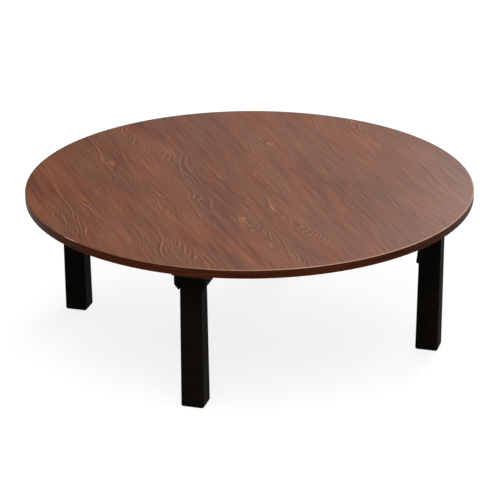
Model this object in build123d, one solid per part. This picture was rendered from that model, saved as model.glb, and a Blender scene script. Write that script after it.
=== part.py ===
from build123d import *
import math
import os

# Round low table (chabudai) with four folding legs, in millimetres.
# Origin: on the floor, under the middle of the round top. +Z is up.
# The legs stand on the +X, +Y, -X and -Y axes, and each folds inwards under the top.

# ---------------------------------------------------------------- driving sizes
# Top: wood-fibre core faced on both sides, with a plastic band round its edge
TABLE_HEIGHT = 278.0
TOP_DIAMETER = 800.0
BOARD_THICKNESS = 15.0
FACING_THICKNESS = 0.8
BAND_THICKNESS = 2.0
BAND_ROUNDING = 0.9

# Wooden block glued under the top, one for each leg
BLOCK_THICKNESS = 22.0
BLOCK_WIDTH = 63.0
BLOCK_INNER_REACH = 30.0
BLOCK_OUTER_REACH = 28.7
BLOCK_CHAMFER = 1.0

# Moulded hinge bracket: its ears' outer sides slope in to the leg
EDGE_TO_PIVOT = 73.2
PIVOT_DROP = 11.5
PLATE_THICKNESS = 5.0
BRACKET_WIDTH = 56.5
BRACKET_INNER_REACH = 28.0
EAR_RADIUS = 9.0
EAR_OUTER_DROP = 7.8
EAR_FOOT_THICKNESS = 1.2
EAR_SLOPE_TOP = 1.0
EAR_SLOPE_DROP = 8.0
EAR_SHOULDER_ROUNDING = 10.0
BRACKET_ROUNDING = 1.5

# Steel pivot pin
PIN_DIAMETER = 6.0
PIN_INSET = 4.6
PIN_CHAMFER = 0.6
PIN_CLEARANCE = 0.05

# Leg moulding: it draws wider towards the floor
LEG_WIDTH = 37.6
LEG_OUTER_REACH = 27.5
LEG_CORNER_RADIUS = 4.5
LEG_CORE_CORNER = 1.5
LEG_WALL = 3.0
LEG_WEB = 1.8
INNER_DRAFT = 0.75
OUTER_DRAFT = 0.27
SIDE_DRAFT = 0.37
HEAD_ROUNDING = 3.0
CORE_TOP_DROP = 76.0
UPPER_CORE_DROP = 18.0
FOLD_ANGLE = 88.0
SEAT_GAP = 0.2
SIDE_CLEARANCE = 0.5

# Foot plug pushed into the open bottom of the leg
FOOT_FLANGE = 5.0
FOOT_ROUNDING = 2.5
SPIGOT_LENGTH = 12.0
SPIGOT_WALL = 2.5
SPIGOT_CLEARANCE = 0.15
SPIGOT_END_GAP = 3.0

# Lock wire: a sprung bar that drops into a notch of the leg's head
WIRE_DIAMETER = 1.8
WIRE_REACH = 25.0
WIRE_BEND_RADIUS = 2.0
WIRE_TAIL = 4.5
WIRE_CLEARANCE = 0.1
GROOVE_DEPTH = 2.6
GROOVE_CLEARANCE = 0.4
NOTCH_DEPTH = 2.3

# Release lever: a rocker in the leg with a finger pad on the inner side
LEVER_WIDTH = 10.0
LEVER_CLEARANCE = 0.6
LEVER_PIVOT_INSET = 5.5
LEVER_PIVOT_DROP = 26.0
LEVER_ARM_THICKNESS = 4.2
LEVER_ARM_OFFSET = 0.5
TRUNNION_DIAMETER = 5.0
TRUNNION_LENGTH = 2.6
TRUNNION_CLEARANCE = 0.08
TRUNNION_END_GAP = 0.5
BOSS_RADIUS = 4.0
NOSE_CLEARANCE = 0.25
NOSE_PIN_GAP = 1.0
PAD_WIDTH = 20.0
PAD_TOP_DROP = 34.0
PAD_LENGTH = 28.0
PAD_TOP_LIFT = 3.0
PAD_END_LIFT = 5.7
PAD_END_SLANT = 1.3
PAD_SINK = 0.6
PAD_ROUNDING = 1.0
PAD_END_GAP = 1.2
RECESS_DEPTH = 3.5
RIDGE_RADIUS = 0.7
RIDGE_SPACING = 5.0
RIDGE_COUNT = 4

# Countersunk wood screws through bracket and block into the core
SCREW_DIAMETER = 4.0
SCREW_LENGTH = 33.0
SCREW_HEAD_DIAMETER = 8.0
SCREW_HEAD_HEIGHT = 2.4
SCREW_SPACING = 22.0
SCREW_INNER_REACH = 20.0
SCREW_OUTER_REACH = 16.0
SCREW_CLEARANCE = 0.25
PILOT_CLEARANCE = 0.05
SCREW_RECESS = 0.2

# ---------------------------------------------------------------- worked-out places
TOP_RADIUS = TOP_DIAMETER / 2
PIVOT_RADIUS = TOP_RADIUS - EDGE_TO_PIVOT
UNDERSIDE_Z = TABLE_HEIGHT - BOARD_THICKNESS
BLOCK_Z = UNDERSIDE_Z - BLOCK_THICKNESS
SEAT_Z = BLOCK_Z - PLATE_THICKNESS
PIVOT_Z = SEAT_Z - PIVOT_DROP
HEAD_RADIUS = PIVOT_DROP - SEAT_GAP
CHEEK_GAP = LEG_WIDTH / 2 + SIDE_CLEARANCE
PIN_LENGTH = BRACKET_WIDTH - 2 * PIN_INSET
WIRE_RADIUS = WIRE_DIAMETER / 2
WIRE_REST = HEAD_RADIUS - NOTCH_DEPTH + WIRE_CLEARANCE + WIRE_RADIUS
WIRE_LIFT = HEAD_RADIUS + WIRE_RADIUS - WIRE_REST
WIRE_SPREAD = CHEEK_GAP + GROOVE_DEPTH / 2
POCKET_HALF_WIDTH = LEVER_WIDTH / 2 + LEVER_CLEARANCE
LEVER_PIVOT_X = LEVER_PIVOT_INSET - HEAD_RADIUS
POCKET_FLOOR = LEVER_PIVOT_X + BOSS_RADIUS + LEVER_CLEARANCE
ROOM = 2 * TABLE_HEIGHT
OVERCUT = 1.0

SIDES = {"right": 0.0, "back": 90.0, "left": 180.0, "front": 270.0}


def rise(angle, drop):
    """How far a drafted face moves over a drop below the pivot."""
    return drop * math.tan(math.radians(angle))


def leg_section(z, inset=0.0):
    """Rounded rectangle of the leg at height z, moved in by inset on all sides."""
    drop = PIVOT_Z - z
    inner = PIVOT_RADIUS - HEAD_RADIUS - rise(INNER_DRAFT, drop) + inset
    outer = PIVOT_RADIUS + LEG_OUTER_REACH - rise(OUTER_DRAFT, drop) - inset
    width = LEG_WIDTH + 2 * rise(SIDE_DRAFT, drop) - 2 * inset
    corner = max(LEG_CORNER_RADIUS - inset, LEG_CORE_CORNER)
    outline = RectangleRounded(outer - inner, width, corner)
    return Plane.XY.offset(z) * Pos((inner + outer) / 2, 0) * outline


def block_between(x_range, y_half, z_range):
    """Box from its X and Z ranges about the pivot pin, centred on Y = 0."""
    x0, x1 = x_range
    z0, z1 = z_range
    box = Box(x1 - x0, 2 * y_half, z1 - z0)
    return Pos(PIVOT_RADIUS + (x0 + x1) / 2, 0, PIVOT_Z + (z0 + z1) / 2) * box


def side_profile(outline, y_half):
    """Extrude a sketch drawn in (X, Z) about the pivot pin to both sides of Y = 0."""
    plane = Plane(origin=(PIVOT_RADIUS, 0, PIVOT_Z), x_dir=(1, 0, 0), z_dir=(0, -1, 0))
    return extrude(plane * outline, y_half, both=True)


def cross_rod(radius, x, z, y_half):
    """Round bar along Y at (X, Z) about the pivot pin."""
    rod = Cylinder(radius, 2 * y_half, rotation=(90, 0, 0))
    return Pos(PIVOT_RADIUS + x, 0, PIVOT_Z + z) * rod


def screw_places():
    """X and Y of the bracket's four screws."""
    places = []
    for reach in (-SCREW_INNER_REACH, SCREW_OUTER_REACH):
        for side in (-SCREW_SPACING / 2, SCREW_SPACING / 2):
            places.append((PIVOT_RADIUS + reach, side))
    return places


def screw(clearance, head_clearance):
    """Countersunk screw pointing up, its head's face at Z = 0."""
    head_radius = SCREW_HEAD_DIAMETER / 2 + head_clearance
    shank_radius = SCREW_DIAMETER / 2 + clearance
    cone = Pos(0, 0, SCREW_HEAD_HEIGHT / 2) * Cone(head_radius, shank_radius, SCREW_HEAD_HEIGHT)
    shank = Pos(0, 0, SCREW_LENGTH / 2) * Cylinder(shank_radius, SCREW_LENGTH)
    return cone + shank


def all_screws(clearance=0.0, head_clearance=0.0):
    """The four screws of one bracket, or the holes for them."""
    head_z = SEAT_Z + SCREW_RECESS
    return [Pos(x, y, head_z) * screw(clearance, head_clearance) for x, y in screw_places()]


def turned(shape, angle):
    return Rot(0, 0, angle) * shape


# ---------------------------------------------------------------- round top
def round_plate(radius, thickness, z):
    return Pos(0, 0, z + thickness / 2) * Cylinder(radius, thickness)


def edge_band():
    """Plastic band wrapped round the board, its two outer arrises rounded."""
    ring = round_plate(TOP_RADIUS, BOARD_THICKNESS, UNDERSIDE_Z)
    ring = fillet(ring.edges().filter_by(GeomType.CIRCLE), BAND_ROUNDING)
    return ring - round_plate(TOP_RADIUS - BAND_THICKNESS, BOARD_THICKNESS, UNDERSIDE_Z)


def with_pilot_holes(board):
    """Drill the holes of all sixteen screws into a piece of the board."""
    for angle in SIDES.values():
        board -= [turned(hole, angle) for hole in all_screws(PILOT_CLEARANCE)]
    return board


# ---------------------------------------------------------------- one hinge, at +X
def mount_block():
    """Wooden packing block between the top and the bracket."""
    block = block_between(
        (-BLOCK_INNER_REACH, BLOCK_OUTER_REACH),
        BLOCK_WIDTH / 2,
        (BLOCK_Z - PIVOT_Z, UNDERSIDE_Z - PIVOT_Z),
    )
    lower_edges = block.faces().sort_by(Axis.Z)[0].edges()
    block = chamfer(lower_edges, BLOCK_CHAMFER)
    return block - all_screws(PILOT_CLEARANCE)


def bracket_front_outline():
    """Bracket seen along the radius: upright sides that round over and slope in to the leg."""
    half = BRACKET_WIDTH / 2
    foot = CHEEK_GAP + EAR_FOOT_THICKNESS
    top = BLOCK_Z - PIVOT_Z
    low = -EAR_RADIUS - OVERCUT
    one_side = Polygon(
        (0, top), (half, top), (half, EAR_SLOPE_TOP), (foot, -EAR_SLOPE_DROP), (foot, low), (0, low),
        align=None,
    )
    shoulder = one_side.vertices().sort_by_distance((half, EAR_SLOPE_TOP))[0]
    one_side = fillet(shoulder, EAR_SHOULDER_ROUNDING)
    return one_side + mirror(one_side, about=Plane.YZ)


def bracket_side_outline():
    """Bracket seen along the pin: base plate with ears that round under the pin."""
    top = BLOCK_Z - PIVOT_Z
    length = BRACKET_INNER_REACH + LEG_OUTER_REACH
    middle = (LEG_OUTER_REACH - BRACKET_INNER_REACH) / 2
    plate = Pos(middle, top - PLATE_THICKNESS / 2) * Rectangle(length, PLATE_THICKNESS)
    outer_end = Line((LEG_OUTER_REACH, top), (LEG_OUTER_REACH, -EAR_OUTER_DROP))
    return make_hull(plate.edges() + outer_end.edges() + Circle(EAR_RADIUS).edges())


def hinge_bracket():
    """Moulded bracket: base plate, two ears for the pin, channel for the leg."""
    front = Plane(origin=(PIVOT_RADIUS, 0, PIVOT_Z), x_dir=(0, 1, 0), z_dir=(1, 0, 0))
    bar = extrude(front * bracket_front_outline(), BRACKET_WIDTH, both=True)
    bracket = bar & side_profile(bracket_side_outline(), BRACKET_WIDTH)
    reach = BRACKET_INNER_REACH + LEG_OUTER_REACH
    middle = PIVOT_RADIUS + (LEG_OUTER_REACH - BRACKET_INNER_REACH) / 2
    plan = Pos(middle, 0) * RectangleRounded(reach, BRACKET_WIDTH, BRACKET_ROUNDING)
    bracket &= extrude(plan, BLOCK_Z)
    bracket -= block_between((-reach, reach), CHEEK_GAP, (-ROOM, PIVOT_DROP))
    bracket -= cross_rod(PIN_DIAMETER / 2, 0, 0, BRACKET_WIDTH)
    bracket -= wire_room()
    return bracket - all_screws(SCREW_CLEARANCE, SCREW_CLEARANCE)


def wire_room():
    """Grooves in the cheeks and pocket in the plate in which the lock wire springs."""
    low = WIRE_REST - WIRE_RADIUS - GROOVE_CLEARANCE
    high = WIRE_REST + WIRE_RADIUS + WIRE_LIFT + GROOVE_CLEARANCE
    reach = WIRE_REACH + WIRE_RADIUS + GROOVE_CLEARANCE
    bar_half = WIRE_RADIUS + GROOVE_CLEARANCE
    outer = CHEEK_GAP + GROOVE_DEPTH
    slots = block_between((-reach, bar_half), outer, (low, high))
    between = (-reach - OVERCUT, bar_half + OVERCUT)
    slots -= block_between(between, CHEEK_GAP, (low - OVERCUT, high + OVERCUT))
    bar = block_between((-bar_half, bar_half), outer, (low, high))
    tail_radius = WIRE_RADIUS + WIRE_CLEARANCE / 2
    holes = []
    for side in (-WIRE_SPREAD, WIRE_SPREAD):
        hole = Cylinder(tail_radius, PLATE_THICKNESS)
        z = SEAT_Z + PLATE_THICKNESS / 2
        holes.append(Pos(PIVOT_RADIUS - WIRE_REACH, side, z) * hole)
    return slots + bar + holes


def lock_wire():
    """Spring wire: bar across the leg's head, two arms, two tails up into the plate."""
    z = PIVOT_Z + WIRE_REST
    back = PIVOT_RADIUS - WIRE_REACH
    tail_z = SEAT_Z + WIRE_TAIL
    path = FilletPolyline(
        (back, WIRE_SPREAD, tail_z),
        (back, WIRE_SPREAD, z),
        (PIVOT_RADIUS, WIRE_SPREAD, z),
        (PIVOT_RADIUS, -WIRE_SPREAD, z),
        (back, -WIRE_SPREAD, z),
        (back, -WIRE_SPREAD, tail_z),
        radius=WIRE_BEND_RADIUS,
    )
    return sweep(Plane(path @ 0, z_dir=path % 0) * Circle(WIRE_RADIUS), path=path)


def pivot_pin():
    pin = cross_rod(PIN_DIAMETER / 2, 0, 0, PIN_LENGTH / 2)
    return chamfer(pin.edges().filter_by(GeomType.CIRCLE), PIN_CHAMFER)


# ---------------------------------------------------------------- one leg, at +X
def face_x(drop):
    """X of the leg's inner face at a drop below the pin."""
    return -HEAD_RADIUS - rise(INNER_DRAFT, drop)


def leg_side_outline():
    """Leg seen along the pin: flat seat behind the pin, round head before it."""
    low = FOOT_FLANGE - PIVOT_Z
    far = LEG_OUTER_REACH + OVERCUT
    near = face_x(PIVOT_Z) - OVERCUT
    corner = LEG_OUTER_REACH - HEAD_ROUNDING
    shoulder = HEAD_RADIUS - HEAD_ROUNDING
    with BuildSketch() as outline:
        with BuildLine():
            Line((near, low), (far, low))
            Line((far, low), (far, shoulder))
            Line((far, shoulder), (LEG_OUTER_REACH, shoulder))
            CenterArc((corner, shoulder), HEAD_ROUNDING, 0, 90)
            Line((corner, HEAD_RADIUS), (0, HEAD_RADIUS))
            CenterArc((0, 0), HEAD_RADIUS, 90, 90)
            Line((-HEAD_RADIUS, 0), (near, 0))
            Line((near, 0), (near, low))
        make_face()
    return outline.sketch


def notch(angle):
    """Slot across the head in which the lock wire's bar drops, open at its rim."""
    width = WIRE_DIAMETER + 2 * WIRE_CLEARANCE
    depth = NOTCH_DEPTH + 2 * OVERCUT
    middle = HEAD_RADIUS - NOTCH_DEPTH + depth / 2
    slot = Pos(0, middle) * Rectangle(width, depth)
    return side_profile(Rot(0, 0, angle) * slot, LEG_WIDTH)


def lever_pocket():
    """Deep slot for the lever's web and nose, wide recess for its pad, holes for its trunnions."""
    face = face_x(PIVOT_Z)
    low = -PAD_TOP_DROP - PAD_LENGTH - PAD_END_SLANT - PAD_END_GAP
    pocket = block_between((face, POCKET_FLOOR), POCKET_HALF_WIDTH, (low, HEAD_RADIUS))
    nose_low = PIN_DIAMETER / 2 + NOSE_PIN_GAP - LEVER_CLEARANCE
    nose_end = nose_reach() + LEVER_CLEARANCE
    pocket += block_between((face, nose_end), POCKET_HALF_WIDTH, (nose_low, WIRE_REST + NOTCH_DEPTH))
    recess_floor = face_x(PAD_TOP_DROP) + RECESS_DEPTH
    recess_half = PAD_WIDTH / 2 + LEVER_CLEARANCE
    pocket += block_between((face, recess_floor), recess_half, (low, LEVER_CLEARANCE - PAD_TOP_DROP))
    hole_radius = TRUNNION_DIAMETER / 2 + TRUNNION_CLEARANCE
    hole_half = POCKET_HALF_WIDTH + TRUNNION_LENGTH + TRUNNION_END_GAP
    return pocket + cross_rod(hole_radius, LEVER_PIVOT_X, -LEVER_PIVOT_DROP, hole_half)


def leg_cores():
    """Hollows of the leg: drafted below, straight above, split by a web down the middle."""
    core_top = PIVOT_Z - CORE_TOP_DROP
    cores = loft([leg_section(FOOT_FLANGE, LEG_WALL), leg_section(core_top, LEG_WALL)], ruled=True)
    upper_outer = LEG_OUTER_REACH - rise(OUTER_DRAFT, CORE_TOP_DROP) - LEG_WALL
    upper_half = LEG_WIDTH / 2 - LEG_WALL
    upper_z = (-CORE_TOP_DROP - OVERCUT, -UPPER_CORE_DROP)
    cores += block_between((POCKET_FLOOR + LEG_WALL, upper_outer), upper_half, upper_z)
    web_low = FOOT_FLANGE + SPIGOT_LENGTH + SPIGOT_END_GAP - PIVOT_Z
    return cores - block_between((-ROOM, ROOM), LEG_WEB / 2, (web_low, 0))


def leg():
    """Leg moulding: drafted square tube with a solid head, cored from below."""
    body = loft([leg_section(FOOT_FLANGE), leg_section(SEAT_Z)], ruled=True)
    body &= side_profile(leg_side_outline(), LEG_WIDTH)
    body -= leg_cores()
    body -= cross_rod(PIN_DIAMETER / 2 + PIN_CLEARANCE, 0, 0, LEG_WIDTH)
    body -= lever_pocket()
    body -= notch(0)
    return body - notch(FOLD_ANGLE)


def foot_plug():
    """Soft plug: flange as wide as the leg's end, hollow spigot up its inside."""
    flange = extrude(leg_section(FOOT_FLANGE), -FOOT_FLANGE)
    flange = fillet(flange.faces().sort_by(Axis.Z)[0].edges(), FOOT_ROUNDING)
    grip = LEG_WALL + rise(INNER_DRAFT, SPIGOT_LENGTH) + SPIGOT_CLEARANCE
    spigot = extrude(leg_section(FOOT_FLANGE, grip), SPIGOT_LENGTH)
    spigot -= extrude(leg_section(FOOT_FLANGE, grip + SPIGOT_WALL), SPIGOT_LENGTH)
    return flange + spigot


# ---------------------------------------------------------------- one release lever, at +X
def ramp_start():
    """Where the nose's ramp leaves its flat top, clear of the wire's round."""
    return (WIRE_RADIUS + NOSE_CLEARANCE) * (math.sqrt(2) - 1)


def nose_reach():
    """End of the nose beyond the pin: ramp as high as the wire has to lift, and a land."""
    return ramp_start() + WIRE_LIFT + WIRE_CLEARANCE + NOSE_CLEARANCE + LEVER_CLEARANCE


def lever_web_outline():
    """Lever seen along its pivot: lower arm, boss, upper arm, hooked nose with ramp."""
    back = LEVER_PIVOT_X + LEVER_ARM_THICKNESS / 2 - LEVER_ARM_OFFSET
    front = back - LEVER_ARM_THICKNESS
    flat = WIRE_REST - WIRE_RADIUS - NOSE_CLEARANCE
    crest = flat + WIRE_LIFT - WIRE_CLEARANCE
    under = PIN_DIAMETER / 2 + NOSE_PIN_GAP
    low = PAD_TOP_DROP + PAD_LENGTH
    top_x = face_x(PAD_TOP_DROP)
    end_x = face_x(low)
    web = Polygon(
        (back, -LEVER_PIVOT_DROP),
        (back, under),
        (nose_reach(), under),
        (nose_reach(), crest),
        (ramp_start() + crest - flat, crest),
        (ramp_start(), flat),
        (back, flat),
        (front, PIN_DIAMETER / 2),
        (front, -LEVER_PIVOT_DROP),
        (top_x, -PAD_TOP_DROP),
        (end_x, -low),
        (end_x + LEVER_ARM_THICKNESS, -low),
        align=None,
    )
    return web + Pos(LEVER_PIVOT_X, -LEVER_PIVOT_DROP) * Circle(BOSS_RADIUS)


def pad_outline():
    """Finger pad seen along its pivot: a wedge that starts just inside the leg's face."""
    low = PAD_TOP_DROP + PAD_LENGTH
    return Polygon(
        (face_x(PAD_TOP_DROP) - PAD_TOP_LIFT, -PAD_TOP_DROP),
        (face_x(low) - PAD_END_LIFT, -low),
        (face_x(low) + PAD_SINK, -low - PAD_END_SLANT),
        (face_x(PAD_TOP_DROP) + PAD_SINK, -PAD_TOP_DROP),
        align=None,
    )


def grip_ridges():
    """Rounded ridges across the lower half of the pad, for the finger."""
    low = PAD_TOP_DROP + PAD_LENGTH
    slope = (PAD_END_LIFT - PAD_TOP_LIFT + rise(INNER_DRAFT, PAD_LENGTH)) / PAD_LENGTH
    ridges = []
    for count in range(1, RIDGE_COUNT + 1):
        up = count * RIDGE_SPACING
        x = face_x(low) - PAD_END_LIFT + up * slope
        ridges.append(cross_rod(RIDGE_RADIUS, x, up - low, PAD_WIDTH / 2 - 2 * PAD_ROUNDING))
    return ridges


def release_lever():
    """Rocker with a ramped nose under the lock wire and a ridged finger pad."""
    web = side_profile(lever_web_outline(), LEVER_WIDTH / 2)
    pad = side_profile(pad_outline(), PAD_WIDTH / 2)
    pad = fillet(pad.edges(), PAD_ROUNDING)
    trunnion_half = POCKET_HALF_WIDTH + TRUNNION_LENGTH
    trunnions = cross_rod(TRUNNION_DIAMETER / 2, LEVER_PIVOT_X, -LEVER_PIVOT_DROP, trunnion_half)
    return web + pad + trunnions + grip_ridges()


# ---------------------------------------------------------------- writing the pieces
def write(name, shape):
    export_step(shape, os.path.join("parts", name + ".step"))


def main():
    os.makedirs("parts", exist_ok=True)
    face_radius = TOP_RADIUS - BAND_THICKNESS
    core_thickness = BOARD_THICKNESS - 2 * FACING_THICKNESS
    core_z = UNDERSIDE_Z + FACING_THICKNESS
    write("board_core", with_pilot_holes(round_plate(face_radius, core_thickness, core_z)))
    write("top_facing", round_plate(face_radius, FACING_THICKNESS, TABLE_HEIGHT - FACING_THICKNESS))
    write("bottom_facing", with_pilot_holes(round_plate(face_radius, FACING_THICKNESS, UNDERSIDE_Z)))
    write("edge_band", edge_band())

    makers = {
        "mount_block": mount_block,
        "hinge_bracket": hinge_bracket,
        "pivot_pin": pivot_pin,
        "lock_wire": lock_wire,
        "leg": leg,
        "foot_plug": foot_plug,
        "release_lever": release_lever,
    }
    for name, maker in makers.items():
        piece = maker()
        for side, angle in SIDES.items():
            write(name + "_" + side, turned(piece, angle))

    screws = []
    for angle in SIDES.values():
        screws += [turned(one, angle) for one in all_screws()]
    write("hinge_screws", Compound(children=screws))


main()
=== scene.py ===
import bpy
import math
from mathutils import Euler, Matrix, Vector


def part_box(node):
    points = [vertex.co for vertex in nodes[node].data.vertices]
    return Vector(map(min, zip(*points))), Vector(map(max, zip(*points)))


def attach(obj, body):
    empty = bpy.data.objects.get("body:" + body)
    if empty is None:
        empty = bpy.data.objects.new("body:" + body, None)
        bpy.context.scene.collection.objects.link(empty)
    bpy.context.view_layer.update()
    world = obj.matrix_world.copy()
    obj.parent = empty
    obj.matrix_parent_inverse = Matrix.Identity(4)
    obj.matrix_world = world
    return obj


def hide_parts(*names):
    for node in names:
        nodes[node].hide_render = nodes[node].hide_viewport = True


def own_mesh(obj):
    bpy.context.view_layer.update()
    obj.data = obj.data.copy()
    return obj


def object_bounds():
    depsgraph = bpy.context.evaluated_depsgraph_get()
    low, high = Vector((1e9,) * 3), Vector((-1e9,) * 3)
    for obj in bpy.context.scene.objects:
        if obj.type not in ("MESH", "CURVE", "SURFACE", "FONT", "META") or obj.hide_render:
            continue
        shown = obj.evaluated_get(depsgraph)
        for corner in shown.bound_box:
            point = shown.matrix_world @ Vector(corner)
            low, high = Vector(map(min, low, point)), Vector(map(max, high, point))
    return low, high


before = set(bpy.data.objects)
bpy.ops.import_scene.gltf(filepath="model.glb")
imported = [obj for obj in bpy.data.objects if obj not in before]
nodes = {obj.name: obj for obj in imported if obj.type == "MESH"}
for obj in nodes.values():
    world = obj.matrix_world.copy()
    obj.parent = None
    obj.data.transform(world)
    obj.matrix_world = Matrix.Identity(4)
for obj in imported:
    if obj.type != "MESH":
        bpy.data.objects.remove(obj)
cad_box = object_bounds()

# The solids come in selected, and an operator would act on them too.
bpy.ops.object.select_all(action="DESELECT")

# ------------------------------------------------------------------ fibreboard core
# The top's core is medium-density fibreboard: fine pressed wood fibre, pale brown, cut to
# a disc and drilled for the screws. The facings are glued to it on both sides.


def paint(red, green, blue):
    """The colour of a paint chart's 8-bit sRGB numbers, for a shader."""
    linear = []
    for part in (red, green, blue):
        share = part / 255
        linear.append(share / 12.92 if share <= 0.04045 else ((share + 0.055) / 1.055) ** 2.4)
    return (*linear, 1.0)


def new_material(name, roughness, **sockets):
    """A material with a Principled shader, and its node tree and shader."""
    material = bpy.data.materials.new(name)
    material.use_nodes = True
    shader = material.node_tree.nodes["Principled BSDF"]
    shader.inputs["Roughness"].default_value = roughness
    for socket, value in sockets.items():
        shader.inputs[socket.replace("_", " ")].default_value = value
    return material, material.node_tree, shader


def add(tree, kind, inputs=None, **settings):
    """Adds a node, and links or fills its inputs."""
    made = tree.nodes.new("ShaderNode" + kind)
    for name, value in settings.items():
        setattr(made, name, value)
    for socket, value in (inputs or {}).items():
        if isinstance(value, bpy.types.NodeSocket):
            tree.links.new(value, made.inputs[socket])
        else:
            made.inputs[socket].default_value = value
    return made


def object_place(tree, scale=(1, 1, 1), turn=0.0, shift=(0, 0, 0)):
    """The surface point in the object's own metres, turned about Z, stretched and shifted."""
    place = add(tree, "TexCoord").outputs["Object"]
    turned = add(tree, "Mapping", {"Vector": place, "Rotation": (0, 0, turn)}).outputs[0]
    return add(tree, "Mapping", {"Vector": turned, "Scale": scale, "Location": shift}).outputs[0]


def noise(tree, place, scale, detail=2.0, roughness=0.5):
    """A noise pattern of so many blobs to the metre, from 0 to 1."""
    inputs = {"Vector": place, "Scale": scale, "Detail": detail, "Roughness": roughness}
    return add(tree, "TexNoise", inputs).outputs["Fac"]


def shades(tree, share, *stops):
    """The colours that a 0 to 1 pattern runs through: each stop is its place and its colour."""
    ramp = add(tree, "ValToRGB", {"Fac": share})
    elements = ramp.color_ramp.elements
    while len(elements) < len(stops):
        elements.new(0.5)
    for element, (place, colour) in zip(elements, stops):
        element.position = place
        element.color = colour
    return ramp.outputs["Color"]


def tint(tree, shader, share, *stops):
    """Colours the surface by a 0 to 1 pattern, with the stops of shades."""
    tree.links.new(shades(tree, share, *stops), shader.inputs["Base Color"])


def bumps(tree, shader, height, depth):
    """Raises the surface by a 0 to 1 height pattern, depth in metres."""
    bump = add(tree, "Bump", {"Height": height, "Distance": depth})
    tree.links.new(bump.outputs[0], shader.inputs["Normal"])


def dress(material, *names):
    """Gives CAD nodes their material."""
    for name in names:
        nodes[name].material_slots[0].material = material


fibreboard, tree, shader = new_material("fibreboard", 0.85)
fibres = noise(tree, object_place(tree), 900, detail=4, roughness=0.7)
tint(tree, shader, fibres, (0.3, paint(142, 112, 78)), (0.7, paint(182, 152, 112)))
bumps(tree, shader, fibres, 0.0002)
dress(fibreboard, "board_core")

# ------------------------------------------------------------------ walnut facing
# The upper facing is a walnut print under a satin melamine film. Its grain runs across the
# table in fine lines, and in places the growth rings, wide or narrow by the year, bend into
# narrow pointed crowns.
GRAIN_TURN = math.radians(-125)
PRINT_CUT = (0.0, 0.0, 71.4)
STRIPE_STRETCH = (4, 130, 1)
GRAIN_WANDER = 0.045
GRAIN_CURL = 0.0050
CROWN_REACH = 0.060
GROWTH_SLOPE = 0.045
RING_SPACING = 0.0042
YEAR_PATTERN_SCALE = 90
YEAR_UNEVENNESS = 1.8
CALM_STRENGTH = 0.82
GREYED_STRENGTH = 0.45
REDDENED_STRENGTH = 0.50
WHITE = (1, 1, 1, 1)


def calculate(tree, operation, *values):
    """The result of a Math node on numbers or sockets."""
    return add(tree, "Math", dict(enumerate(values)), operation=operation).outputs[0]


def sharpen(tree, share, low, high):
    """Stretches the middle of a pattern, from low to high, to run from 0 to 1."""
    return add(tree, "MapRange", {"Value": share, "From Min": low, "From Max": high}).outputs[0]


def spread(tree, share, low, high):
    """Stretches a 0 to 1 pattern to run from low to high."""
    return add(tree, "MapRange", {"Value": share, "To Min": low, "To Max": high}).outputs[0]


def vary_gloss(tree, shader, share, low, high):
    """Makes the surface's roughness follow a 0 to 1 pattern from low to high."""
    tree.links.new(spread(tree, share, low, high), shader.inputs["Roughness"])


def blend(tree, share, first, second, blend_type="MIX"):
    """Mixes two colours by a share from 0 to 1."""
    inputs = {"Factor": share, 6: first, 7: second}
    return add(tree, "Mix", inputs, data_type="RGBA", blend_type=blend_type).outputs[2]


def grain_noise(tree, along_scale, across_scale, detail=2.0, roughness=0.5):
    """A noise pattern drawn out along the grain: blobs to the metre along and across it."""
    place = object_place(tree, (along_scale, across_scale, 1), GRAIN_TURN, PRINT_CUT)
    return noise(tree, place, 1.0, detail, roughness)


walnut, tree, shader = new_material("satin_walnut", 0.38, Specular_IOR_Level=0.12)
axes = add(tree, "SeparateXYZ", {"Vector": object_place(tree, turn=GRAIN_TURN)})
along = axes.outputs["X"]
across = axes.outputs["Y"]
wander = calculate(tree, "MULTIPLY_ADD", grain_noise(tree, 2.5, 6), GRAIN_WANDER, across)
curly = sharpen(tree, grain_noise(tree, 5, 11), 0.46, 0.70)
curl = calculate(tree, "MULTIPLY", curly, grain_noise(tree, 30, 55, detail=1))
curled = calculate(tree, "MULTIPLY_ADD", curl, GRAIN_CURL, wander)
pointed = grain_noise(tree, 6, 21, detail=1)
crowns = calculate(tree, "MULTIPLY_ADD", pointed, CROWN_REACH, curled)
growth = calculate(tree, "MULTIPLY_ADD", along, GROWTH_SLOPE, crowns)

# Some years grow wide rings and some narrow ones.
years = calculate(tree, "MULTIPLY", growth, YEAR_PATTERN_SCALE)
years = add(tree, "CombineXYZ", {"Y": years}).outputs[0]
wide_years = noise(tree, years, 1.0, detail=1)
ring_count = calculate(tree, "DIVIDE", growth, RING_SPACING)
ring_count = calculate(tree, "MULTIPLY_ADD", wide_years, YEAR_UNEVENNESS, ring_count)
rings = calculate(tree, "FRACT", ring_count)
ring_shade = shades(
    tree,
    rings,
    (0.00, paint(88, 43, 24)),
    (0.22, paint(118, 62, 36)),
    (0.60, paint(132, 71, 41)),
    (0.85, paint(192, 122, 78)),
    (1.00, paint(100, 51, 29)),
)

stripe_place = add(tree, "CombineXYZ", {"X": along, "Y": curled}).outputs[0]
stripe_place = add(tree, "Mapping", {"Vector": stripe_place, "Scale": STRIPE_STRETCH}).outputs[0]
stripes = noise(tree, stripe_place, 1.0, detail=3, roughness=0.65)
stripe_shade = shades(
    tree,
    stripes,
    (0.26, paint(80, 40, 24)),
    (0.40, paint(117, 62, 37)),
    (0.55, paint(136, 73, 42)),
    (0.66, paint(165, 98, 60)),
    (0.78, paint(206, 136, 90)),
)

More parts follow.
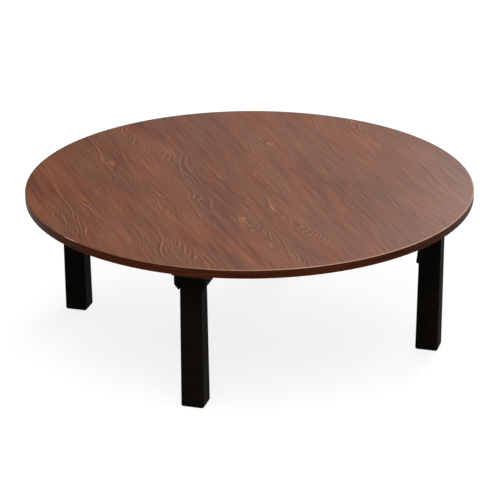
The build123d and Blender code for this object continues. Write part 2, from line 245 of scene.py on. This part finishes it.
# Stripes all over, calmed here and there, then the rings in patches and the washes of colour.
calm = sharpen(tree, grain_noise(tree, 5, 13), 0.36, 0.58)
calm = calculate(tree, "MULTIPLY", calm, CALM_STRENGTH)
wood = blend(tree, calm, stripe_shade, paint(134, 76, 46))
ringed = sharpen(tree, grain_noise(tree, 6, 17), 0.46, 0.60)
wood = blend(tree, ringed, wood, ring_shade)
greyed = sharpen(tree, grain_noise(tree, 6, 16, detail=3), 0.46, 0.66)
greyed = calculate(tree, "MULTIPLY", greyed, GREYED_STRENGTH)
wood = blend(tree, greyed, wood, paint(123, 82, 60))
reddened = sharpen(tree, grain_noise(tree, 9, 24, detail=3), 0.50, 0.68)
reddened = calculate(tree, "MULTIPLY", reddened, REDDENED_STRENGTH)
wood = blend(tree, reddened, wood, paint(145, 80, 46))
cloud = grain_noise(tree, 3.2, 11, detail=3)
cloud_shade = shades(tree, cloud, (0.30, paint(219, 221, 215)), (0.62, WHITE))
wood = blend(tree, 1.0, wood, cloud_shade, "MULTIPLY")
fibres = grain_noise(tree, 9, 420, detail=3, roughness=0.6)
fibre_shade = shades(tree, fibres, (0.35, paint(204, 194, 188)), (0.62, WHITE))
wood = blend(tree, 1.0, wood, fibre_shade, "MULTIPLY")
tree.links.new(wood, shader.inputs["Base Color"])
vary_gloss(tree, shader, stripes, 0.35, 0.42)
bumps(tree, shader, fibres, 0.00002)
dress(walnut, "top_facing")

# ------------------------------------------------------------------ backing facing
# The lower facing is glued under the core to balance the upper one. It is a plain dark
# brown paper, matt and faintly mottled.
backing, tree, shader = new_material("brown_backing_paper", 0.62)
place = object_place(tree)
mottle = noise(tree, place, 60, detail=5, roughness=0.65)
tint(tree, shader, mottle, (0.3, paint(84, 54, 40)), (0.7, paint(100, 68, 50)))
bumps(tree, shader, noise(tree, place, 1500), 0.00004)
dress(backing, "bottom_facing")

# ------------------------------------------------------------------ edge band
# A plastic band with a dark walnut print is glued round the board's edge. Its grain runs
# round the table. Its upper arris carries a painted highlight, strongest on one side, and
# a light scuff at its joint.
BAND_RADIUS = 0.4
BAND_STRETCH = (1.5, 60, 1)
BAND_JOINT = math.radians(-123)
HIGHLIGHT_SIDE = math.radians(-20)
FULL_HIGHLIGHT_COSINE = 0.8
LEAST_HIGHLIGHT = 0.15
JOINT_STRENGTH = 0.8

# Where each mark starts and where it is full: the painted highlight on the arris in metres below
# the board's face, the scuff and the dark line at the joint in radians to either side of it.
ARRIS_START = 0.0011
ARRIS_FULL = 0.0004
SCUFF_START = 0.055
SCUFF_FULL = 0.025
JOINT_START = 0.0018
JOINT_FULL = 0.0006

band, tree, shader = new_material("walnut_edge_band", 0.42, Specular_IOR_Level=0.03)
place = object_place(tree)
axes = add(tree, "SeparateXYZ", {"Vector": place})
bearing = calculate(tree, "ARCTAN2", axes.outputs["Y"], axes.outputs["X"])
run = calculate(tree, "MULTIPLY", bearing, BAND_RADIUS)
strip = add(tree, "CombineXYZ", {"X": run, "Y": axes.outputs["Z"]}).outputs[0]
strip = add(tree, "Mapping", {"Vector": strip, "Scale": BAND_STRETCH}).outputs[0]
lines = noise(tree, strip, 6, detail=4, roughness=0.6)
line_shade = shades(
    tree,
    lines,
    (0.30, paint(53, 24, 13)),
    (0.55, paint(83, 40, 23)),
    (0.75, paint(112, 62, 39)),
)

band_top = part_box("edge_band")[1][2]
arris = sharpen(tree, axes.outputs["Z"], band_top - ARRIS_START, band_top - ARRIS_FULL)
# Painted highlight along the arris: strongest on one side of the table, faint elsewhere.
facing_highlight_side = calculate(tree, "COSINE", calculate(tree, "SUBTRACT", bearing, HIGHLIGHT_SIDE))
highlight_and_scuff = spread(tree, sharpen(tree, facing_highlight_side, 0.0, FULL_HIGHLIGHT_COSINE), LEAST_HIGHLIGHT, 1.0)
uneven = spread(tree, noise(tree, place, 25, detail=4), 0.4, 1.5)
highlight_and_scuff = calculate(tree, "MULTIPLY", highlight_and_scuff, uneven)
off_joint = calculate(tree, "ABSOLUTE", calculate(tree, "SUBTRACT", bearing, BAND_JOINT))
scuff = sharpen(tree, off_joint, SCUFF_START, SCUFF_FULL)
highlight_and_scuff = calculate(tree, "MAXIMUM", highlight_and_scuff, calculate(tree, "MULTIPLY", scuff, uneven))
# The arris is painted lighter here: a painted highlight, together with the scuff at the joint.
shade = blend(tree, calculate(tree, "MULTIPLY", arris, highlight_and_scuff), line_shade, paint(190, 148, 124))
joint = sharpen(tree, off_joint, JOINT_START, JOINT_FULL)
joint = calculate(tree, "MULTIPLY", joint, JOINT_STRENGTH)
shade = blend(tree, joint, shade, paint(128, 96, 80))
tree.links.new(shade, shader.inputs["Base Color"])
dress(band, "edge_band")

# ------------------------------------------------------------------ packing blocks
# Each leg has a block of brown stained wood glued and screwed under the top, its grain
# across the leg's fold. It drops the hinge, so that the folded leg clears the board.
BLOCK_GRAIN = (24, 340, 340)


def stained_wood(name, turn):
    """Brown stained wood, its grain along X or turned about Z from there."""
    material, tree, shader = new_material(name, 0.6, Specular_IOR_Level=0.15)
    growth = noise(tree, object_place(tree, BLOCK_GRAIN, turn), 1, detail=4)
    tint(tree, shader, growth, (0.3, paint(58, 32, 20)), (0.7, paint(86, 50, 33)))
    bumps(tree, shader, growth, 0.0001)
    return material


grain_along_x = stained_wood("stained_wood_along_x", 0.0)
grain_along_y = stained_wood("stained_wood_along_y", math.radians(90))
dress(grain_along_x, "mount_block_back", "mount_block_front")
dress(grain_along_y, "mount_block_right", "mount_block_left")

# ------------------------------------------------------------------ hinge brackets
# Each bracket is one nylon moulding, matt black: a base plate and two ears with a channel
# between them for the leg's head. Four screws hold it to its block.
SIDES = ("right", "back", "left", "front")


def each(name):
    """The four nodes of that name, one for each side of the table."""
    return [f"{name}_{side}" for side in SIDES]


def black_plastic(name, roughness, grain_scale, grain_depth, specular):
    """Black moulding with a faint eroded texture and slightly uneven gloss."""
    material, tree, shader = new_material(name, roughness, Specular_IOR_Level=specular)
    place = object_place(tree)
    haze = noise(tree, place, 35, detail=4, roughness=0.6)
    tint(tree, shader, haze, (0.3, paint(20, 17, 13)), (0.75, paint(30, 26, 20)))
    vary_gloss(tree, shader, haze, roughness - 0.05, roughness + 0.07)
    bumps(tree, shader, noise(tree, place, grain_scale, detail=3), grain_depth)
    return material


nylon = black_plastic("black_nylon", 0.6, grain_scale=1800, grain_depth=0.00004, specular=0.02)
dress(nylon, *each("hinge_bracket"))

# ------------------------------------------------------------------ lock wires
# A sprung steel wire lies across each bracket. It drops into a notch of the leg's head and
# so locks the leg, open or folded. Its tails are pressed up into the base plate, and its bar
# springs up when the release lever is pressed.
WIRE_RADIUS = 0.0009
WIRE_BEND_RADIUS = 0.0020
WELD_GAP = 0.00001

wire_low, wire_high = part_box("lock_wire_right")
wire_middle = (wire_low[0] + wire_high[0]) / 2
wire_rise = wire_high[2] - wire_low[2]
thickness = 2 * WIRE_RADIUS


def bright_steel(name, roughness, dull, bright):
    """Plated steel with drawing lines and cloudy gloss."""
    material, tree, shader = new_material(name, roughness, Metallic=1.0)
    place = object_place(tree)
    cloud = noise(tree, place, 160, detail=4, roughness=0.6)
    tint(tree, shader, cloud, (0.3, dull), (0.7, bright))
    vary_gloss(tree, shader, cloud, roughness - 0.06, roughness + 0.08)
    bumps(tree, shader, noise(tree, place, 2500), 0.00001)
    return material


def pick(piece, kind, test):
    """Selects the vertices or faces that pass a test, in edit mode."""
    bpy.ops.mesh.select_all(action="DESELECT")
    bpy.ops.mesh.select_mode(type=kind)
    bpy.ops.object.mode_set(mode="OBJECT")
    parts = piece.data.vertices if kind == "VERT" else piece.data.polygons
    for part in parts:
        part.select = test(part)
    bpy.ops.object.mode_set(mode="EDIT")


def turn_about_z(degrees):
    """A turn about Z, as a matrix."""
    return Matrix.Rotation(math.radians(degrees), 4, "Z")


bpy.ops.mesh.primitive_plane_add(size=1, location=(wire_middle, 0, wire_low[2] + WIRE_RADIUS))
wire = bpy.context.object
wire.scale = (wire_high[0] - wire_low[0] - thickness, wire_high[1] - wire_low[1] - thickness, 1)
bpy.ops.object.transform_apply()
bpy.ops.object.mode_set(mode="EDIT")
pick(wire, "VERT", lambda corner: corner.co.x < wire_middle)
bpy.ops.mesh.delete(type="EDGE_FACE")
pick(wire, "VERT", lambda corner: corner.co.x < wire_middle)
tail = (0, 0, wire_rise - WIRE_RADIUS)
bpy.ops.mesh.extrude_vertices_move(TRANSFORM_OT_translate={"value": tail})
pick(wire, "VERT", lambda corner: corner.co.z < wire_low[2] + thickness)
bpy.ops.mesh.bevel(offset=WIRE_BEND_RADIUS, segments=6, affect="VERTICES")
bpy.ops.object.mode_set(mode="OBJECT")
bpy.ops.object.convert(target="CURVE")
wire.data.bevel_depth = WIRE_RADIUS
wire.data.bevel_resolution = 4
wire.data.use_fill_caps = True
bpy.ops.object.convert(target="MESH")
bpy.ops.object.mode_set(mode="EDIT")
bpy.ops.mesh.select_all(action="SELECT")
bpy.ops.mesh.remove_doubles(threshold=WELD_GAP)
bpy.ops.mesh.normals_make_consistent(inside=False)
bpy.ops.object.mode_set(mode="OBJECT")
bpy.ops.object.shade_smooth_by_angle(angle=math.radians(40))
spring_steel = bright_steel("spring_steel", 0.30, paint(140, 140, 142), paint(176, 176, 178))
wire.data.materials.clear()
wire.data.materials.append(spring_steel)

for quarter, side in enumerate(SIDES):
    one = bpy.data.objects.new(f"wire_{side}", wire.data.copy())
    one.data.transform(turn_about_z(90 * quarter))
    bpy.context.scene.collection.objects.link(one)
    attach(one, "table")
    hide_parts(f"lock_wire_{side}")
    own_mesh(one)
bpy.data.objects.remove(wire)

# ------------------------------------------------------------------ legs
# Each leg is a hollow black moulding with rounded corners that draws wider towards the
# floor. Its solid head turns on the pivot pin and holds the lock's two notches.
leg_plastic = black_plastic(
    "black_leg_moulding", 0.55, grain_scale=2200, grain_depth=0.00002, specular=0.008
)
dress(leg_plastic, *each("leg"))

# ------------------------------------------------------------------ pivot pins
# A zinc-plated steel pin is pressed through both ears of each bracket, and the leg's head
# turns on it. Its ends are chamfered and lie below the ears' faces.
zinc_plate = bright_steel("zinc_plate", 0.28, paint(150, 150, 148), paint(190, 190, 186))
dress(zinc_plate, *each("pivot_pin"))

# ------------------------------------------------------------------ release levers
# A black moulded rocker turns on its own trunnions in a pocket in the leg's inner side.
# When its finger pad is pressed, its ramped nose lifts the lock wire out of the notch.
lever_plastic = black_plastic(
    "black_lever_moulding", 0.55, grain_scale=1800, grain_depth=0.00003, specular=0.02
)
dress(lever_plastic, *each("release_lever"))

# ------------------------------------------------------------------ feet
# A plug of soft black rubber closes the open end of each leg and takes the table's weight.
# Its hollow spigot is pushed up into the leg.
rubber, tree, shader = new_material("black_rubber", 0.7, Specular_IOR_Level=0.03)
place = object_place(tree)
dust = noise(tree, place, 120, detail=5, roughness=0.7)
tint(tree, shader, dust, (0.35, paint(11, 10, 11)), (0.8, paint(27, 25, 26)))
bumps(tree, shader, noise(tree, place, 1200), 0.00005)
dress(rubber, *each("foot_plug"))

# ------------------------------------------------------------------ hinge screws
# Four countersunk, cross-recessed wood screws of zinc-plated steel hold each bracket. They
# run up through the block into the core, and each was driven home to its own angle.
SCREW_HEAD_RADIUS = 0.0040
SCREW_HEAD_HEIGHT = 0.0024
SCREW_CORE_RADIUS = 0.0014
SCREW_THREAD_RADIUS = 0.0020
SCREW_THREAD_START = 0.0090
SCREW_THREAD_PITCH = 0.0018
SCREW_THREAD_STEPS = 16
SCREW_POINT_LENGTH = 0.0030
SCREW_ARRIS = 0.00008
SCREW_ROW_GAP = 0.036
SCREW_PAIR_GAP = 0.022
SCREW_TURN = 37  # degrees
RECESS_ARM = 0.0017
RECESS_WIDTH = 0.0009
RECESS_DEPTH = 0.0015
RECESS_TAPER = 0.45

screw_low, screw_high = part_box("hinge_screws")
screw_length = screw_high[2] - screw_low[2]


def apply_modifier(piece, kind, **settings):
    """Adds a modifier to the piece and applies it."""
    modifier = piece.modifiers.new(kind.title(), kind)
    for name, value in settings.items():
        setattr(modifier, name, value)
    bpy.context.view_layer.objects.active = piece
    bpy.ops.object.modifier_apply(modifier=modifier.name)


bpy.ops.mesh.primitive_cone_add(
    vertices=32,
    radius1=SCREW_HEAD_RADIUS,
    radius2=SCREW_CORE_RADIUS,
    depth=SCREW_HEAD_HEIGHT,
    location=(0, 0, SCREW_HEAD_HEIGHT / 2),
)
bpy.ops.object.transform_apply()
screw = bpy.context.object
bpy.ops.object.mode_set(mode="EDIT")
pick(screw, "FACE", lambda face: face.normal.z > 0.9)
shank_length = screw_length - SCREW_HEAD_HEIGHT - SCREW_POINT_LENGTH
bpy.ops.mesh.extrude_region_move(TRANSFORM_OT_translate={"value": (0, 0, shank_length)})
bpy.ops.mesh.extrude_region_move(TRANSFORM_OT_translate={"value": (0, 0, SCREW_POINT_LENGTH)})
bpy.ops.mesh.merge(type="CENTER")
bpy.ops.object.mode_set(mode="OBJECT")

bpy.ops.mesh.primitive_cube_add(size=1, location=(0, 0, 0))
recess = bpy.context.object
recess.scale = (RECESS_WIDTH, RECESS_WIDTH, 2 * RECESS_DEPTH)
bpy.ops.object.transform_apply()
bpy.ops.object.mode_set(mode="EDIT")
pick(recess, "FACE", lambda face: abs(face.normal.z) < 0.1)
bpy.ops.mesh.extrude_faces_move(TRANSFORM_OT_shrink_fatten={"value": RECESS_ARM})
pick(recess, "VERT", lambda vertex: vertex.co.z > 0)
bpy.ops.transform.resize(value=(RECESS_TAPER, RECESS_TAPER, 1), center_override=(0, 0, 0))
bpy.ops.object.mode_set(mode="OBJECT")
apply_modifier(screw, "BOOLEAN", object=recess, operation="DIFFERENCE", solver="EXACT")
bpy.data.objects.remove(recess)
apply_modifier(
    screw,
    "BEVEL",
    width=SCREW_ARRIS,
    segments=2,
    limit_method="ANGLE",
    angle_limit=math.radians(35),
)

bpy.ops.object.select_all(action="DESELECT")
bpy.ops.mesh.primitive_circle_add(
    vertices=3,
    radius=SCREW_THREAD_RADIUS - SCREW_CORE_RADIUS,
    location=(SCREW_CORE_RADIUS, 0, SCREW_THREAD_START),
    rotation=(math.radians(90), math.radians(90), 0),
)
bpy.ops.object.transform_apply()
thread = bpy.context.object
thread_length = screw_length - SCREW_POINT_LENGTH - SCREW_THREAD_START
apply_modifier(
    thread,
    "SCREW",
    screw_offset=SCREW_THREAD_PITCH,
    iterations=int(thread_length / SCREW_THREAD_PITCH),
    steps=SCREW_THREAD_STEPS,
    render_steps=SCREW_THREAD_STEPS,
)
bpy.ops.object.mode_set(mode="EDIT")
bpy.ops.mesh.select_all(action="SELECT")
bpy.ops.mesh.fill_holes(sides=3)
bpy.ops.mesh.select_all(action="SELECT")
bpy.ops.mesh.normals_make_consistent(inside=False)
bpy.ops.object.mode_set(mode="OBJECT")
screw.select_set(True)
bpy.context.view_layer.objects.active = screw
bpy.ops.object.join()
bpy.ops.object.shade_smooth_by_angle(angle=math.radians(30))
screw_zinc = bright_steel("screw_zinc", 0.33, paint(140, 140, 136), paint(180, 180, 175))
screw.data.materials.append(screw_zinc)

outer_row = screw_high[0] - SCREW_HEAD_RADIUS
driven = 0
for quarter, side in enumerate(SIDES):
    for reach in (outer_row - SCREW_ROW_GAP, outer_row):
        for sideways in (-SCREW_PAIR_GAP / 2, SCREW_PAIR_GAP / 2):
            driven += 1
            place = Matrix.Translation((reach, sideways, screw_low[2]))
            one = bpy.data.objects.new(f"screw_{side}_{driven}", screw.data.copy())
            one.data.transform(turn_about_z(90 * quarter) @ place @ turn_about_z(SCREW_TURN * driven))
            bpy.context.scene.collection.objects.link(one)
            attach(one, "table")
            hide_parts("hinge_screws")
bpy.data.objects.remove(screw)

# ------------------------------------------------------------------ floor and lamps
# The table stands on a plain white floor. Two soft boxes behind it give the top its sheen,
# and a large one high in front gives most of the light.
FLOOR_REACH = 30.0
FLOOR_GREY = 0.3
FLOOR_GLOW = 0.82
ROOM_LIGHT = 0.34

bpy.ops.mesh.primitive_plane_add(size=2 * FLOOR_REACH)
floor = bpy.context.object
floor.name = "floor"
white_floor, tree, shader = new_material("white_floor", 0.9, Specular_IOR_Level=0.0)
shader.inputs["Base Color"].default_value = (FLOOR_GREY, FLOOR_GREY, FLOOR_GREY, 1)
shader.inputs["Emission Color"].default_value = WHITE
ray = add(tree, "LightPath").outputs
seen = calculate(tree, "MAXIMUM", ray["Is Camera Ray"], ray["Is Glossy Ray"])
seen = calculate(tree, "MAXIMUM", seen, ray["Is Transmission Ray"])
glow = calculate(tree, "MULTIPLY", seen, FLOOR_GLOW)
tree.links.new(glow, shader.inputs["Emission Strength"])
floor.data.materials.append(white_floor)

world = bpy.data.worlds.new("studio")
bpy.context.scene.world = world
world.use_nodes = True
background = world.node_tree.nodes["Background"]
background.inputs["Color"].default_value = WHITE
background.inputs["Strength"].default_value = ROOM_LIGHT


def outwards(bearing, rise, distance):
    """The way to a point so many degrees round, so many degrees up and so far off."""
    turned = Euler((0, math.radians(-rise), math.radians(bearing)))
    return turned.to_matrix() @ Vector((distance, 0, 0))


def soft_lamp(name, bearing, rise, distance, width, height, power):
    """An oblong soft box that shines at the middle of the top."""
    offset = outwards(bearing, rise, distance)
    lamp = bpy.data.lights.new(name, "AREA")
    lamp.shape = "RECTANGLE"
    lamp.size = width
    lamp.size_y = height
    lamp.energy = power
    box = bpy.data.objects.new(name, lamp)
    box.location = Vector((0, 0, cad_box[1][2])) + offset
    box.rotation_euler = (-offset).to_track_quat("-Z", "Y").to_euler()
    bpy.context.scene.collection.objects.link(box)


soft_lamp("tall_lamp_behind", bearing=80, rise=34, distance=2.8, width=1.1, height=2.2, power=38.5)
soft_lamp("low_lamp_behind", bearing=94, rise=22, distance=2.8, width=2.0, height=1.6, power=4.5)
soft_lamp("high_lamp_in_front", bearing=-75, rise=58, distance=2.4, width=2.0, height=2.0, power=37)

# ------------------------------------------------------------------ camera
# It stands well back in front of the table, between the front and the right leg, and looks
# down on it through a long lens.
CAMERA_AIM = Vector((0.0009, -0.0020, 0.1502))
CAMERA_BEARING = -73.625  # degrees
CAMERA_RISE = 22.392  # degrees
CAMERA_DISTANCE = 4.160
CAMERA_ROLL = -0.0056  # radians
CAMERA_LENS = 165.6  # millimetres

offset = outwards(CAMERA_BEARING, CAMERA_RISE, CAMERA_DISTANCE)
camera = bpy.data.objects.new("camera", bpy.data.cameras.new("camera"))
camera.location = CAMERA_AIM + offset
facing = (-offset).to_track_quat("-Z", "Y")
camera.rotation_mode = "QUATERNION"
camera.rotation_quaternion = facing @ Euler((0, 0, CAMERA_ROLL)).to_quaternion()
camera.data.lens = CAMERA_LENS
bpy.context.scene.collection.objects.link(camera)
bpy.context.scene.camera = camera
bpy.context.scene.view_settings.view_transform = "Standard"
